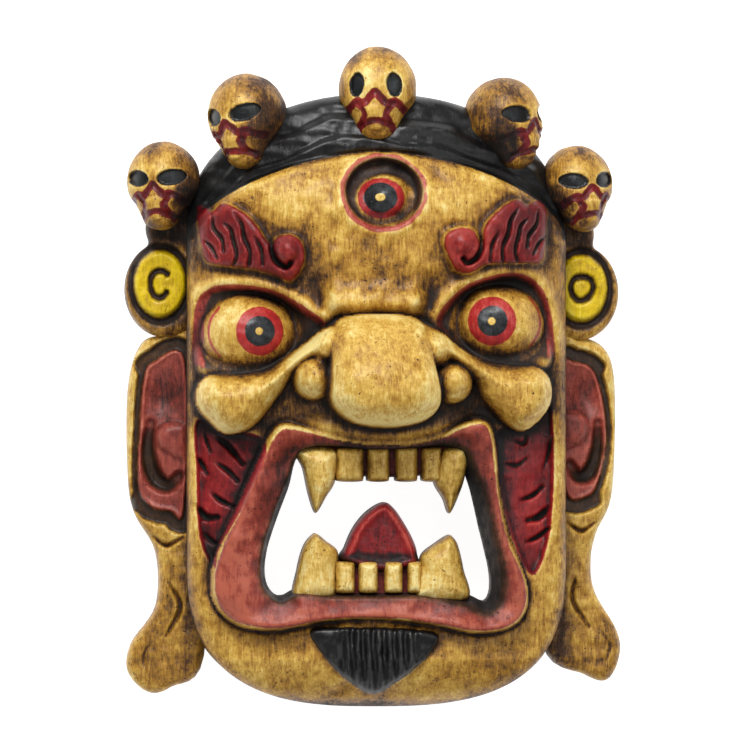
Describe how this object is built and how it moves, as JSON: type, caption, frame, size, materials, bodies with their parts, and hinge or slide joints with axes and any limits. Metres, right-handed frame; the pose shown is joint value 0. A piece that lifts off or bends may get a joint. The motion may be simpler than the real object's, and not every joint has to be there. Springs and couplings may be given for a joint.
{
  "type": "tibetan cham mask",
  "caption": "Carved and painted wooden mask of a wrathful face with a crown of skulls, a third eye, bared fangs in an open mouth, long ears and a hollow back.",
  "frame": {"origin": "middle of the outline, on the plane of the flat back rim that the mask lies on", "axes": "+Z out of the face, +Y towards the crown of skulls, +X towards the right of the picture"},
  "size_m": [0.303, 0.4, 0.147],
  "materials": {
    "painted_wood": "hand-painted ochre with crimson, terracotta, black and yellow, satin varnish, dark brown patina in the cuts"
  },
  "bodies": {
    "root": {"mask": "painted_wood"}
  },
  "joints": []
}
